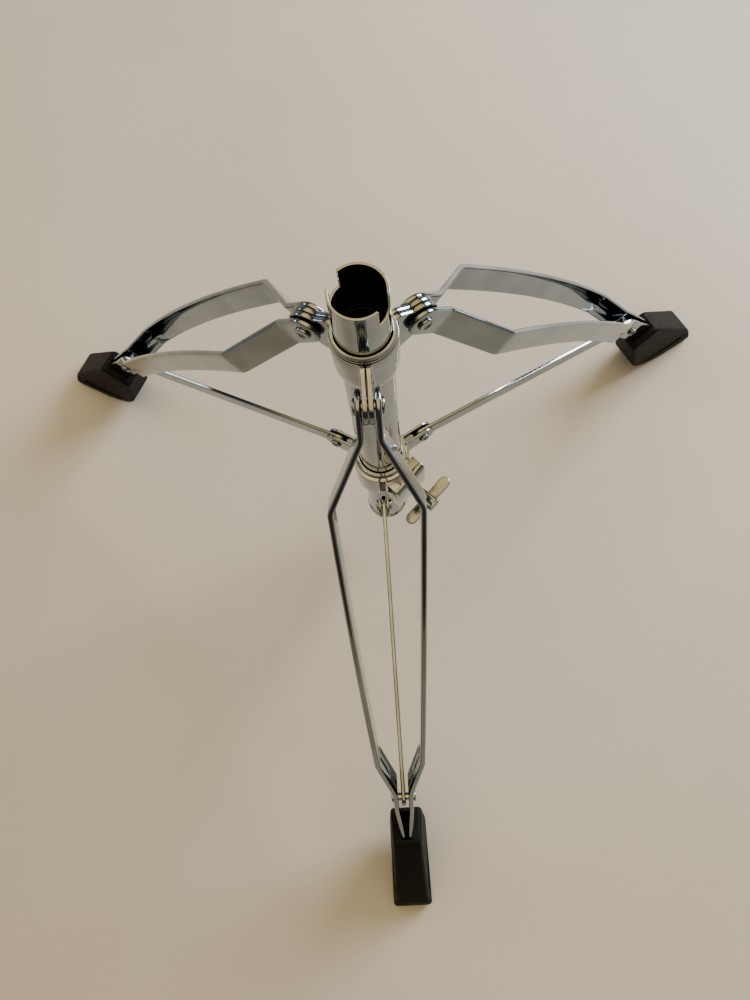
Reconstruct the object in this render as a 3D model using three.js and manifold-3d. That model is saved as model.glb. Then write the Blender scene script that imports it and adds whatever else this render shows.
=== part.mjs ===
// Tripod base of a snare drum stand: three double-braced strap legs, a slotted
// centre tube, a sliding collar with its wing screw, and three tie struts.
// Millimetres, +Z up, tube axis on Z, underside of the tube's end cap at z = 0,
// floor at z = FLOOR, front leg along -Y.
import * as THREE from 'three';
import { mergeVertices } from 'three/addons/utils/BufferGeometryUtils.js';
import Module from 'manifold-3d';

const manifold = await Module();
manifold.setup();

// ---------------------------------------------------------------- dimensions
const GAP = 0.3;                    // clearance between touching pieces
const PLAY = 0.1;                   // running clearance of a pivot in its hole
const ROUND = 24;                   // segments of a small round piece
const TUBE_ROUND = 42;              // segments of the tube and what surrounds it

const FLOOR = -41.5;
const LEGS = { front: -90, right: 30, left: 150 };   // azimuth of each leg, degrees

const TUBE_RADIUS = 12.7;
const TUBE_WALL = 1.2;
const TUBE_TOP = 307.5;
const TUBE_BOTTOM = 2;
const NOTCH_DEPTH = 12;
const NOTCH_ANGLE = 43;
const NOTCH_AZIMUTH = 150;          // the second notch is opposite

const BUSHING_WALL = 1.3;
const BUSHING_TOP = 273.5;
const BUSHING_LENGTH = 46;
const CAP_RADIUS = 13.6;
const CAP_UNDERSIDE = 0;
const CAP_SPIGOT_TOP = 11;

const HUB_SHEET = 2.4;              // sheet thickness of the fixed hub
const HUB_TOP = 270.7;
const HUB_SKIRT = 30;               // height of the sheet around the tube
const HUB_TAPER = 8;                // height over which its lower end closes on the tube
const HUB_RING_HEIGHT = 4.2;
const FLANGE_RADIUS = 9;            // round end of a hub flange
const PIVOT_RADIUS = 28;            // leg pivot, distance from the tube axis
const PIVOT_HEIGHT = 257.3;
const PIVOT_PIN = 2.9;

const STRAP_WIDTH = 16;
const STRAP_THICKNESS = 2.8;
const STRAP_BEND = 7;               // bend radius on the centre line
const SLOPE_TOP = 44.4;             // degrees below horizontal at the hub
const SLOPE_FOOT = 56.7;            // and at the foot
const BEND_U = [14, 48.8, 227.4, 260, 278, 311];   // distance of each bend from the pivot
const HALF_GAP = [4.5, 21.4, 13, 4.6, 4.4, 2];     // strap centre from the leg's plane there
const TIP_U = 332;
const TIP_HALF_GAP = 2;
const STRUT_PIVOT_U = 273;

const RIVET_HEAD = 3.6;
const RIVET_HEAD_HEIGHT = 1.1;
const RIVET_SHANK = 2.4;

const COLLAR_INNER = TUBE_RADIUS + GAP;
const COLLAR_RING_OUTER = 15.7;
const COLLAR_TOP = 108;
const COLLAR_RING_HEIGHT = 4;
const COLLAR_SHEET = 1.8;
const COLLAR_OUTER = 17.2;
const COLLAR_HEIGHT = 29;
const EAR_SHEET = 1.6;
const EAR_HALF_SPACE = 2.4;         // ear centre from the leg's plane
const EAR_RADIUS = 7.5;
const EAR_PIVOT_RADIUS = 29.7;
const EAR_PIVOT_HEIGHT = 96.1;

const STRUT_HEIGHT = 11;
const STRUT_THICKNESS = 2.4;

const CLAMP_AZIMUTH = -45;
const CLAMP_WIDTH = 24;
const CLAMP_REACH = 25.2;           // outer face, distance from the tube axis
const CLAMP_WALL = 2;
const CLAMP_BORE = 4.2;
const NUT_SIZE = 12;
const SCREW_HEIGHT = 90;
const SCREW_RADIUS = 3;
const SCREW_TIP = 16.6;
const WING_BOSS_RADIUS = 4.3;
const WING_BOSS = [30.5, 44];       // start and end of the boss along the screw
const WING_CENTRE = 38.2;
const WING_SPAN = 37.6;
const WING_WIDTH = 7;
const WING_THICKNESS = 2.6;
const SHOE_RADIUS = 3.7;

const FOOT_TOE = 277;
const FOOT_HALF_WIDTH = 13;
// [distance from the axis, half width, height above the floor] of a foot's side walls
const WALL_HEEL_TOP = [231.5, 8.9, 62];
const WALL_HEEL_LOW = [217, 11.8, 20];
const WALL_TOE_TOP = [273, 10.6, 16];
const WALL_TOE_LOW = [FOOT_TOE, FOOT_HALF_WIDTH, 4];
const MOUTH_GAP = 0.4;               // beside the straps in a foot's mouth

// ------------------------------------------------------------------ materials
const chrome = (color) => new THREE.MeshStandardMaterial({ color, roughness: 0.12, metalness: 1 });
const CHROME = chrome(0xc9c6c0);
const BLACK_PLASTIC = new THREE.MeshStandardMaterial({ color: 0x121212, roughness: 0.5, metalness: 0 });
const RUBBER = new THREE.MeshStandardMaterial({ color: 0x1d1d1c, roughness: 0.75, metalness: 0 });
const NYLON = new THREE.MeshStandardMaterial({ color: 0xd8d5cc, roughness: 0.55, metalness: 0 });

// -------------------------------------------------------------------- helpers
const rad = THREE.MathUtils.degToRad;

/** Turns a closed geometry into a manifold solid. */
function solid(geometry) {
  const bare = geometry.clone();
  bare.deleteAttribute('normal');
  bare.deleteAttribute('uv');
  const merged = mergeVertices(bare, 1e-4);
  return new manifold.Manifold(new manifold.Mesh({
    numProp: 3,
    vertProperties: new Float32Array(merged.attributes.position.array),
    triVerts: new Uint32Array(merged.index.array),
  }));
}

/** Turns a manifold solid back into a geometry. */
function geometryOf(body) {
  const mesh = body.getMesh();
  const geometry = new THREE.BufferGeometry();
  geometry.setAttribute('position', new THREE.BufferAttribute(new Float32Array(mesh.vertProperties), 3));
  geometry.setIndex(new THREE.BufferAttribute(new Uint32Array(mesh.triVerts), 1));
  geometry.computeVertexNormals();
  return geometry;
}

/** A body of revolution about Z from [radius, height] points. */
function lathe(points, segments = ROUND) {
  const profile = points.map(([radius, height]) => new THREE.Vector2(radius, height));
  return new THREE.LatheGeometry(profile, segments).rotateX(Math.PI / 2);
}

/** A hollow ring about Z, from its [radius, height] section, closed on itself. */
function ring(points, segments = TUBE_ROUND) {
  return lathe([...points, points[0]], segments);
}

/** A cylinder from 'start' to 'end' along local Y, at radial distance r and height z. */
function pinAlongY(radius, start, end, r, z, segments = ROUND) {
  const cylinder = new THREE.CylinderGeometry(radius, radius, end - start, segments);
  return cylinder.translate(r, (start + end) / 2, z);
}

/** An outline in the radial plane (r, z), extruded from y = start to y = end. */
function plateInLegPlane(shape, start, end, curveSegments = 10) {
  const options = { depth: end - start, bevelEnabled: false, curveSegments };
  const plate = new THREE.ExtrudeGeometry(shape, options);
  return plate.rotateX(Math.PI / 2).translate(0, end, 0);
}

/** A flat ring sector about Z between two azimuths, between two heights. */
function sector(inner, outer, from, to, bottom, top) {
  const shape = new THREE.Shape();
  shape.absarc(0, 0, outer, rad(from), rad(to), false);
  shape.absarc(0, 0, inner, rad(to), rad(from), true);
  const options = { depth: top - bottom, bevelEnabled: false, curveSegments: 14 };
  return new THREE.ExtrudeGeometry(shape, options).translate(0, 0, bottom);
}

const assembly = new THREE.Group();

/** Adds a named piece, turned about Z to the given azimuth. */
function add(name, geometry, material, azimuth = 0) {
  const mesh = new THREE.Mesh(geometry, material);
  mesh.name = name;
  mesh.rotation.z = rad(azimuth);
  assembly.add(mesh);
}

// ----------------------------------------------------------------- centre tube
function buildTube() {
  const inner = TUBE_RADIUS - TUBE_WALL;
  const wall = ring([
    [inner, TUBE_BOTTOM], [TUBE_RADIUS, TUBE_BOTTOM], [TUBE_RADIUS, TUBE_TOP], [inner, TUBE_TOP],
  ]);
  let tube = solid(wall);
  for (const azimuth of [NOTCH_AZIMUTH, NOTCH_AZIMUTH + 180]) {
    const cutter = sector(
      inner / 2, TUBE_RADIUS * 1.5,
      azimuth - NOTCH_ANGLE / 2, azimuth + NOTCH_ANGLE / 2,
      TUBE_TOP - NOTCH_DEPTH, TUBE_TOP + NOTCH_DEPTH,
    );
    tube = tube.subtract(solid(cutter));
  }
  add('centre_tube', geometryOf(tube), CHROME);

  const bushingOuter = inner - GAP;
  const bushingInner = bushingOuter - BUSHING_WALL;
  const bushingBottom = BUSHING_TOP - BUSHING_LENGTH;
  add('tube_bushing', ring([
    [bushingInner, bushingBottom], [bushingOuter, bushingBottom],
    [bushingOuter, BUSHING_TOP], [bushingInner, BUSHING_TOP],
  ]), BLACK_PLASTIC);

  add('tube_end_cap', lathe([
    [0, CAP_UNDERSIDE], [CAP_RADIUS, CAP_UNDERSIDE], [CAP_RADIUS, TUBE_BOTTOM - GAP],
    [inner - GAP, TUBE_BOTTOM - GAP], [inner - GAP, CAP_SPIGOT_TOP], [0, CAP_SPIGOT_TOP],
  ], TUBE_ROUND), CHROME);
}

// ------------------------------------------------------------------- fixed hub
const HUB_INNER = TUBE_RADIUS + GAP;
const HUB_OUTER = HUB_INNER + HUB_SHEET;

/** Outline of a flange: a tab with a round end about the leg pivot. */
function flangeOutline() {
  const outline = new THREE.Shape();
  outline.moveTo(HUB_INNER + 0.5, HUB_TOP - HUB_SKIRT + 1);
  outline.lineTo(HUB_OUTER + 1, HUB_TOP - HUB_SKIRT + 1);
  outline.absarc(PIVOT_RADIUS, PIVOT_HEIGHT, FLANGE_RADIUS, rad(-50), rad(90), false);
  outline.lineTo(HUB_INNER + 0.5, PIVOT_HEIGHT + FLANGE_RADIUS);
  return outline;
}

function buildHub() {
  const grooveDepth = 0.6;
  const ringOuter = HUB_OUTER - 0.6;
  const bottom = HUB_TOP + GAP;
  const top = bottom + HUB_RING_HEIGHT;
  const middle = (top + bottom) / 2;
  add('hub_ring', ring([
    [HUB_INNER, bottom], [ringOuter, bottom], [ringOuter, middle - 0.5],
    [ringOuter - grooveDepth, middle], [ringOuter, middle + 0.5],
    [ringOuter - 0.3, top - 0.4], [HUB_INNER + 0.4, top], [HUB_INNER, top],
  ]), CHROME);

  const skirtBottom = HUB_TOP - HUB_SKIRT;
  const skirt = solid(ring([
    [HUB_INNER, skirtBottom], [HUB_INNER + 1, skirtBottom], [HUB_OUTER, skirtBottom + HUB_TAPER],
    [HUB_OUTER, HUB_TOP], [HUB_INNER, HUB_TOP],
  ]));

  // Three pressed sheets, each from one leg's flange round the tube to the next one's.
  const skirtBend = Math.asin((GAP / 2) / HUB_INNER) * THREE.MathUtils.RAD2DEG;
  const names = Object.keys(LEGS);
  names.forEach((name, index) => {
    const from = LEGS[name];
    const next = names[(index + 1) % names.length];
    const wedge = sector(
      HUB_INNER / 2, HUB_OUTER * 1.5, from + skirtBend, from + 120 - skirtBend,
      HUB_TOP - HUB_SKIRT, HUB_TOP,
    );
    const flange = plateInLegPlane(flangeOutline(), GAP / 2, GAP / 2 + HUB_SHEET);
    const hole = pinAlongY(PIVOT_PIN + PLAY, -10, 10, PIVOT_RADIUS, PIVOT_HEIGHT);
    const first = solid(flange).subtract(solid(hole)).rotate([0, 0, from]);
    const second = solid(flange).subtract(solid(hole)).mirror([0, 1, 0]).rotate([0, 0, from + 120]);
    const plate = skirt.intersect(solid(wedge)).add(first).add(second);
    add(`hub_plate_${name}_${next}`, geometryOf(plate), CHROME);

    const pinLength = GAP / 2 + HUB_SHEET;
    add(`hub_pin_${name}`, pinAlongY(PIVOT_PIN, -pinLength, pinLength, PIVOT_RADIUS, PIVOT_HEIGHT),
      CHROME, from);
  });
}

// ------------------------------------------------------------------------ legs
const ARC_ANGLE = rad(SLOPE_FOOT - SLOPE_TOP);
const ARC_RADIUS = (BEND_U[2] - BEND_U[1]) / ARC_ANGLE;

/** Point and slope of a leg's centre line, u millimetres from the pivot. */
function legAt(u) {
  const slope = rad(SLOPE_TOP);
  const straight = Math.min(u, BEND_U[1]);
  let r = PIVOT_RADIUS + straight * Math.cos(slope);
  let z = PIVOT_HEIGHT - straight * Math.sin(slope);
  let angle = slope;
  if (u > BEND_U[1]) {
    const turn = Math.min((u - BEND_U[1]) / ARC_RADIUS, ARC_ANGLE);
    r += ARC_RADIUS * (Math.sin(slope + turn) - Math.sin(slope));
    z += ARC_RADIUS * (Math.cos(slope + turn) - Math.cos(slope));
    angle += turn;
  }
  if (u > BEND_U[2]) {
    r += (u - BEND_U[2]) * Math.cos(angle);
    z -= (u - BEND_U[2]) * Math.sin(angle);
  }
  return { r, z, angle };
}

/** Carries (u, sideways, across) to the leg's plane: across grows towards the upper edge. */
function toLeg(u, sideways, across) {
  const { r, z, angle } = legAt(u);
  return [r + across * Math.sin(angle), sideways, z + across * Math.cos(angle)];
}

/** Centre line of one strap seen from above, with its bends rounded. */
function strapPath() {
  const corners = [
    [-STRAP_WIDTH / 2, HALF_GAP[0]],
    ...BEND_U.map((u, index) => [u, HALF_GAP[index]]),
    [TIP_U, TIP_HALF_GAP],
  ].map(([u, sideways]) => new THREE.Vector2(u, sideways));
  const path = [corners[0]];
  for (let i = 1; i < corners.length - 1; i += 1) {
    const before = corners[i - 1].clone().sub(corners[i]).normalize();
    const after = corners[i + 1].clone().sub(corners[i]).normalize();
    const reach = STRAP_BEND * Math.tan((Math.PI - before.angleTo(after)) / 2);
    const start = corners[i].clone().addScaledVector(before, reach);
    const end = corners[i].clone().addScaledVector(after, reach);
    const bend = new THREE.QuadraticBezierCurve(start, corners[i], end);
    path.push(...bend.getPoints(3));
  }
  path.push(corners.at(-1));
  return path;
}

/** Adds points along the long stretches, so that a strap can follow its arch. */
function subdivided(path, longest) {
  const points = [path[0]];
  for (let i = 1; i < path.length; i += 1) {
    const pieces = Math.ceil(path[i].distanceTo(path[i - 1]) / longest);
    for (let k = 1; k <= pieces; k += 1) {
      points.push(path[i - 1].clone().lerp(path[i], k / pieces));
    }
  }
  return points;
}

/** The path moved sideways by 'distance', square to itself. */
function offset(path, distance) {
  return path.map((point, i) => {
    const previous = path[Math.max(i - 1, 0)];
    const next = path[Math.min(i + 1, path.length - 1)];
    const along = next.clone().sub(previous).normalize();
    return new THREE.Vector2(point.x - along.y * distance, point.y + along.x * distance);
  });
}

/** A closed bar through four-cornered sections, each a list of [x, y, z] points. */
function barThrough(sections) {
  const quads = [];
  for (let i = 1; i < sections.length; i += 1) {
    for (let k = 0; k < 4; k += 1) {
      const next = (k + 1) % 4;
      quads.push([(i - 1) * 4 + k, (i - 1) * 4 + next, i * 4 + next, i * 4 + k]);
    }
  }
  const last = (sections.length - 1) * 4;
  quads.push([3, 2, 1, 0], [last, last + 1, last + 2, last + 3]);
  const geometry = new THREE.BufferGeometry();
  geometry.setAttribute('position', new THREE.Float32BufferAttribute(sections.flat(2), 3));
  geometry.setIndex(quads.flatMap(([p, q, r, t]) => [p, q, r, p, r, t]));
  return geometry;
}

/** The long slot-shaped outline that rounds both ends of a strap, in the leg's plane. */
function strapEndWaste(u, side) {
  const { r, z, angle } = legAt(u);
  const box = new THREE.BoxGeometry(STRAP_WIDTH, 80, STRAP_WIDTH * 2);
  box.translate(side * STRAP_WIDTH / 2, 0, 0).rotateY(angle).translate(r, 0, z);
  return solid(box).subtract(solid(pinAlongY(STRAP_WIDTH / 2, -41, 41, r, z, 40)));
}

function buildStrap() {
  const path = subdivided(strapPath(), 14);
  const outer = offset(path, STRAP_THICKNESS / 2);
  const inner = offset(path, -STRAP_THICKNESS / 2);
  const half = STRAP_WIDTH / 2;
  const sections = path.map((_, i) => [
    toLeg(inner[i].x, inner[i].y, -half), toLeg(outer[i].x, outer[i].y, -half),
    toLeg(outer[i].x, outer[i].y, half), toLeg(inner[i].x, inner[i].y, half),
  ]);
  const pivot = legAt(0);
  const strutPivot = legAt(STRUT_PIVOT_U);
  return solid(barThrough(sections))
    .subtract(strapEndWaste(0, -1))
    .subtract(strapEndWaste(TIP_U - half, 1))
    .subtract(solid(pinAlongY(PIVOT_PIN + PLAY, -20, 20, pivot.r, pivot.z)))
    .subtract(solid(pinAlongY(RIVET_SHANK + PLAY, -20, 20, strutPivot.r, strutPivot.z)));
}

/** A rivet along Y about (r, z): a shank with a low round head at one end or both. */
function rivet(shankRadius, start, end, heads, r, z) {
  let body = solid(pinAlongY(shankRadius, start, end, r, z));
  for (const [from, to] of heads) {
    body = body.add(solid(pinAlongY(RIVET_HEAD, from, to, r, z)));
  }
  return body;
}

/** Side outline of a foot: a flat heel face that the straps go into, and a sole that curves up to it. */
function footOutline() {
  const outline = new THREE.Shape();
  outline.moveTo(250, FLOOR);
  outline.lineTo(FOOT_TOE - 7, FLOOR);
  outline.quadraticCurveTo(FOOT_TOE, FLOOR, FOOT_TOE, FLOOR + 5);
  outline.lineTo(FOOT_TOE - 0.5, FLOOR + 8);
  outline.quadraticCurveTo(FOOT_TOE - 1, FLOOR + 12, FOOT_TOE - 5, FLOOR + 17);
  outline.lineTo(234.5, FLOOR + 59);
  outline.quadraticCurveTo(231.5, FLOOR + 62.3, 228, FLOOR + 61.3);
  outline.lineTo(213.5, FLOOR + 57.2);
  outline.quadraticCurveTo(209.8, FLOOR + 56, 210.3, FLOOR + 52);
  outline.lineTo(216.5, FLOOR + 24);
  outline.quadraticCurveTo(218.5, FLOOR + 15, 226, FLOOR + 9.5);
  outline.quadraticCurveTo(237, FLOOR + 2, 250, FLOOR);
  return outline;
}

/** A large block lying on the plane through three points, on its outer side (1) or its inner (-1). */
function besidePlane(points, side) {
  const size = 120;
  const [a, b, c] = points.map((point) => new THREE.Vector3(...point));
  const along = b.clone().sub(a).normalize();
  const normal = along.clone().cross(c.clone().sub(a)).normalize();
  if (normal.y * a.y < 0) normal.negate();
  const other = normal.clone().cross(along);
  const ring = (lift) => {
    const corners = [[-1, -1], [1, -1], [1, 1], [-1, 1]].map(([p, q]) => a.clone()
      .addScaledVector(along, p * size).addScaledVector(other, q * size)
      .addScaledVector(normal, lift * side).toArray());
    return side > 0 ? corners : corners.reverse();
  };
  return solid(barThrough([ring(0), ring(size)]));
}

/** What lies outside one side wall of a foot: it leans in, narrows to the heel and flares at the toe. */
function outsideWall(sign) {
  const place = ([r, half, height]) => [r, sign * half, FLOOR + height];
  const [heelTop, heelLow, toeTop, toeLow] = [WALL_HEEL_TOP, WALL_HEEL_LOW, WALL_TOE_TOP, WALL_TOE_LOW].map(place);
  const leaning = besidePlane([heelTop, toeTop, heelLow], 1);
  const belowFlare = besidePlane([toeTop, toeLow, heelLow], -1);
  const upright = besidePlane([toeLow, heelLow, [toeLow[0], toeLow[1], toeLow[2] + 50]], 1);
  return leaning.subtract(belowFlare).add(upright);
}

/** A rubber foot with the straps' mouth in its heel face. */
function buildFoot() {
  const block = solid(plateInLegPlane(footOutline(), -FOOT_HALF_WIDTH, FOOT_HALF_WIDTH, 5));
  const across = STRAP_WIDTH / 2 + GAP;
  const mouth = barThrough([
    [BEND_U[3], HALF_GAP[3]], [BEND_U[4], HALF_GAP[4]], [BEND_U[5], HALF_GAP[5]], [TIP_U + 1, TIP_HALF_GAP],
  ].map(([u, halfGap]) => {
    const side = halfGap + STRAP_THICKNESS / 2 + MOUTH_GAP;
    return [toLeg(u, -side, -across), toLeg(u, side, -across), toLeg(u, side, across), toLeg(u, -side, across)];
  }));
  return block.subtract(outsideWall(1)).subtract(outsideWall(-1)).subtract(solid(mouth));
}

function buildLegs() {
  const strapRight = buildStrap();
  const strapLeft = strapRight.mirror([0, 1, 0]);
  const foot = buildFoot();
  const strapFace = HALF_GAP[0] + STRAP_THICKNESS / 2;
  const strutPivot = legAt(STRUT_PIVOT_U);
  const strutFace = HALF_GAP[3] + STRAP_THICKNESS / 2 + GAP;
  for (const [name, azimuth] of Object.entries(LEGS)) {
    add(`leg_strap_${name}_a`, geometryOf(strapLeft), CHROME, azimuth);
    add(`leg_strap_${name}_b`, geometryOf(strapRight), CHROME, azimuth);
    const shankStart = HALF_GAP[0] - STRAP_THICKNESS / 2;
    const headStart = strapFace + GAP;
    const headEnd = headStart + RIVET_HEAD_HEIGHT;
    const half = rivet(
      PIVOT_PIN, shankStart, headEnd, [[headStart, headEnd]], PIVOT_RADIUS, PIVOT_HEIGHT,
    );
    add(`leg_rivet_${name}_a`, geometryOf(half.mirror([0, 1, 0])), CHROME, azimuth);
    add(`leg_rivet_${name}_b`, geometryOf(half), CHROME, azimuth);
    const outer = strutFace + RIVET_HEAD_HEIGHT;
    const through = rivet(
      RIVET_SHANK, -outer, outer, [[-outer, -strutFace], [strutFace, outer]], strutPivot.r, strutPivot.z,
    );
    add(`strut_foot_rivet_${name}`, geometryOf(through), CHROME, azimuth);
    add(`foot_${name}`, geometryOf(foot), RUBBER, azimuth);
  }
}

// ---------------------------------------------------------------------- struts
function buildStruts() {
  const outerPivot = legAt(STRUT_PIVOT_U);
  const run = outerPivot.r - EAR_PIVOT_RADIUS;
  const drop = EAR_PIVOT_HEIGHT - outerPivot.z;
  const length = Math.hypot(run, drop);
  const radius = STRUT_HEIGHT / 2;
  const outline = new THREE.Shape();
  outline.absarc(0, 0, radius, rad(90), rad(270), false);
  outline.absarc(length, 0, radius, rad(-90), rad(90), false);
  for (const x of [0, length]) {
    const hole = new THREE.Path();
    hole.absarc(x, 0, RIVET_SHANK + PLAY, 0, Math.PI * 2, true);
    outline.holes.push(hole);
  }
  const half = STRUT_THICKNESS / 2;
  const bar = plateInLegPlane(outline, -half, half, 12);
  bar.rotateY(Math.atan2(drop, run)).translate(EAR_PIVOT_RADIUS, 0, EAR_PIVOT_HEIGHT);
  for (const [name, azimuth] of Object.entries(LEGS)) {
    add(`strut_${name}`, bar.clone(), CHROME, azimuth);
  }
}

// ---------------------------------------------------------------- sliding collar
const COLLAR_SHELL_TOP = COLLAR_TOP - COLLAR_RING_HEIGHT - GAP;
const COLLAR_BOTTOM = COLLAR_SHELL_TOP - COLLAR_HEIGHT;

function earOutline() {
  const outline = new THREE.Shape();
  outline.moveTo(COLLAR_OUTER - 1, EAR_PIVOT_HEIGHT - EAR_RADIUS - 2);
  outline.absarc(EAR_PIVOT_RADIUS, EAR_PIVOT_HEIGHT, EAR_RADIUS, rad(-80), rad(90), false);
  outline.lineTo(COLLAR_OUTER - 1, EAR_PIVOT_HEIGHT + EAR_RADIUS);
  const hole = new THREE.Path();
  hole.absarc(EAR_PIVOT_RADIUS, EAR_PIVOT_HEIGHT, RIVET_SHANK + PLAY, 0, Math.PI * 2, true);
  outline.holes.push(hole);
  return outline;
}

/** The pressed box that holds the clamp nut, open below, with the screw's hole. */
function clampBox() {
  const depth = CLAMP_REACH - COLLAR_OUTER + 4;
  const middle = CLAMP_REACH - depth / 2;
  const height = COLLAR_HEIGHT;
  const centreZ = COLLAR_SHELL_TOP - height / 2;
  const shell = solid(new THREE.BoxGeometry(depth, CLAMP_WIDTH, height).translate(middle, 0, centreZ));
  const hollow = solid(new THREE.BoxGeometry(depth, CLAMP_WIDTH - 2 * CLAMP_WALL, height)
    .translate(middle - CLAMP_WALL, 0, centreZ - CLAMP_WALL));
  const bore = new THREE.CylinderGeometry(CLAMP_BORE, CLAMP_BORE, 40, ROUND)
    .rotateZ(Math.PI / 2).translate(CLAMP_REACH, 0, SCREW_HEIGHT);
  return { shell, hollow, bore: solid(bore) };
}

function buildCollar() {
  const groove = COLLAR_TOP - COLLAR_RING_HEIGHT / 2;
  add('collar_ring', ring([
    [COLLAR_INNER, COLLAR_SHELL_TOP + GAP], [COLLAR_RING_OUTER, COLLAR_SHELL_TOP + GAP],
    [COLLAR_RING_OUTER, groove - 0.5], [COLLAR_RING_OUTER - 0.8, groove],
    [COLLAR_RING_OUTER - 0.4, groove + 0.6], [COLLAR_RING_OUTER - 1, COLLAR_TOP - 0.4],
    [COLLAR_INNER + 0.5, COLLAR_TOP], [COLLAR_INNER, COLLAR_TOP - 0.6],
  ]), CHROME);

  const shellInner = COLLAR_OUTER - COLLAR_SHEET;
  const bushingOuter = shellInner - GAP;
  const screwHole = new THREE.CylinderGeometry(SHOE_RADIUS + GAP, SHOE_RADIUS + GAP, 20, ROUND)
    .rotateZ(Math.PI / 2).translate(COLLAR_OUTER, 0, SCREW_HEIGHT).rotateZ(rad(CLAMP_AZIMUTH));
  const sleeve = ring([
    [COLLAR_INNER, COLLAR_BOTTOM], [bushingOuter, COLLAR_BOTTOM],
    [bushingOuter, COLLAR_SHELL_TOP], [COLLAR_INNER, COLLAR_SHELL_TOP],
  ]);
  add('collar_bushing', geometryOf(solid(sleeve).subtract(solid(screwHole))), BLACK_PLASTIC);

  const earStart = EAR_HALF_SPACE - EAR_SHEET / 2;
  const earEnd = EAR_HALF_SPACE + EAR_SHEET / 2;
  const earBend = Math.asin(earStart / COLLAR_OUTER) * THREE.MathUtils.RAD2DEG;
  const names = Object.keys(LEGS);
  const box = clampBox();
  names.forEach((name, index) => {
    const from = LEGS[name];
    const next = names[(index + 1) % names.length];
    const wall = solid(sector(
      shellInner, COLLAR_OUTER, from + earBend, from + 120 - earBend,
      COLLAR_BOTTOM, COLLAR_SHELL_TOP,
    ));
    const ear = solid(plateInLegPlane(earOutline(), earStart, earEnd));
    const first = ear.rotate([0, 0, from]);
    const second = ear.mirror([0, 1, 0]).rotate([0, 0, from + 120]);
    let plate = wall.add(first).add(second);
    if (name === 'front') {
      const turn = [0, 0, CLAMP_AZIMUTH];
      const core = solid(new THREE.CylinderGeometry(shellInner, shellInner, 90, TUBE_ROUND)
        .rotateX(Math.PI / 2).translate(0, 0, COLLAR_BOTTOM));
      plate = plate.add(box.shell.rotate(turn)).subtract(box.hollow.rotate(turn))
        .subtract(box.bore.rotate(turn)).subtract(core);
    }
    add(`collar_plate_${name}_${next}`, geometryOf(plate), CHROME);

    const face = earEnd + GAP;
    const outer = face + RIVET_HEAD_HEIGHT;
    const through = rivet(
      RIVET_SHANK, -outer, outer, [[-outer, -face], [face, outer]], EAR_PIVOT_RADIUS, EAR_PIVOT_HEIGHT,
    );
    add(`ear_rivet_${name}`, geometryOf(through), CHROME, from);
  });
}

/** A cylinder lying along local X between two radial distances, at the screw's height. */
function rodAlongX(radius, start, end) {
  return new THREE.CylinderGeometry(radius, radius, end - start, ROUND)
    .rotateZ(Math.PI / 2).translate((start + end) / 2, 0, SCREW_HEIGHT);
}

function buildClamp() {
  const nutFace = CLAMP_REACH - CLAMP_WALL - GAP;
  const nutDepth = 4.4;
  const nut = solid(new THREE.BoxGeometry(nutDepth, NUT_SIZE, NUT_SIZE)
    .translate(nutFace - nutDepth / 2, 0, SCREW_HEIGHT));
  add('clamp_nut', geometryOf(nut.subtract(solid(rodAlongX(SCREW_RADIUS + GAP, 0, 60)))),
    CHROME, CLAMP_AZIMUTH);

  add('clamp_shoe', rodAlongX(SHOE_RADIUS, TUBE_RADIUS + GAP, SCREW_TIP - GAP), NYLON, CLAMP_AZIMUTH);

  const shank = solid(rodAlongX(SCREW_RADIUS, SCREW_TIP, WING_BOSS[0] + 1));
  const boss = solid(rodAlongX(WING_BOSS_RADIUS, ...WING_BOSS));
  const wing = new THREE.Shape();
  const tip = WING_SPAN / 2 - WING_WIDTH / 2;
  wing.absarc(WING_CENTRE, tip, WING_WIDTH / 2, 0, Math.PI, false);
  wing.absarc(WING_CENTRE, -tip, WING_WIDTH / 2, Math.PI, Math.PI * 2, false);
  const wings = new THREE.ExtrudeGeometry(wing, { depth: WING_THICKNESS, bevelEnabled: false, curveSegments: 10 });
  wings.translate(0, 0, SCREW_HEIGHT - WING_THICKNESS / 2);
  add('wing_screw', geometryOf(shank.add(boss).add(solid(wings))), CHROME, CLAMP_AZIMUTH);
}

buildTube();
buildHub();
buildLegs();
buildStruts();
buildCollar();
buildClamp();

export default assembly;
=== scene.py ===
import math

import bmesh
import bpy
from mathutils import Matrix, Vector


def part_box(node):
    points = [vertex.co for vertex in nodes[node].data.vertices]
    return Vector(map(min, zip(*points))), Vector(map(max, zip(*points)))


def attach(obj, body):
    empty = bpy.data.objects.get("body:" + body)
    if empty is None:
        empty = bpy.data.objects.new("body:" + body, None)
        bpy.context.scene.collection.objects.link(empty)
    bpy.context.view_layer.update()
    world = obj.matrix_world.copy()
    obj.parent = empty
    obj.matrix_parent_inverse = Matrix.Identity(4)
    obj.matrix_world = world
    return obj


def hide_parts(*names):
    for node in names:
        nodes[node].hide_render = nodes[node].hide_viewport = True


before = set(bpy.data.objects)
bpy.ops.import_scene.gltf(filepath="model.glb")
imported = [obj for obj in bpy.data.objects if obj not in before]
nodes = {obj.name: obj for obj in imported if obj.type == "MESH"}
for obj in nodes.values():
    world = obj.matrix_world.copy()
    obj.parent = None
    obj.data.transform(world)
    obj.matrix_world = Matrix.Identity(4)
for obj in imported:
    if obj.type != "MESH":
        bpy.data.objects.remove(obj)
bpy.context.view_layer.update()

MM = 0.001
# each leg's direction from the tube in degrees, and the leg that comes after it
LEGS = {"front": -90.0, "right": 30.0, "left": 150.0}
NEXT_LEG = {"front": "right", "right": "left", "left": "front"}


def top_of(node):
    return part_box(node)[1].z / MM


def bottom_of(node):
    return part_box(node)[0].z / MM


# ------------------------------------------------------------------ dimensions, mm
FLOOR = bottom_of("foot_front")
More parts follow.
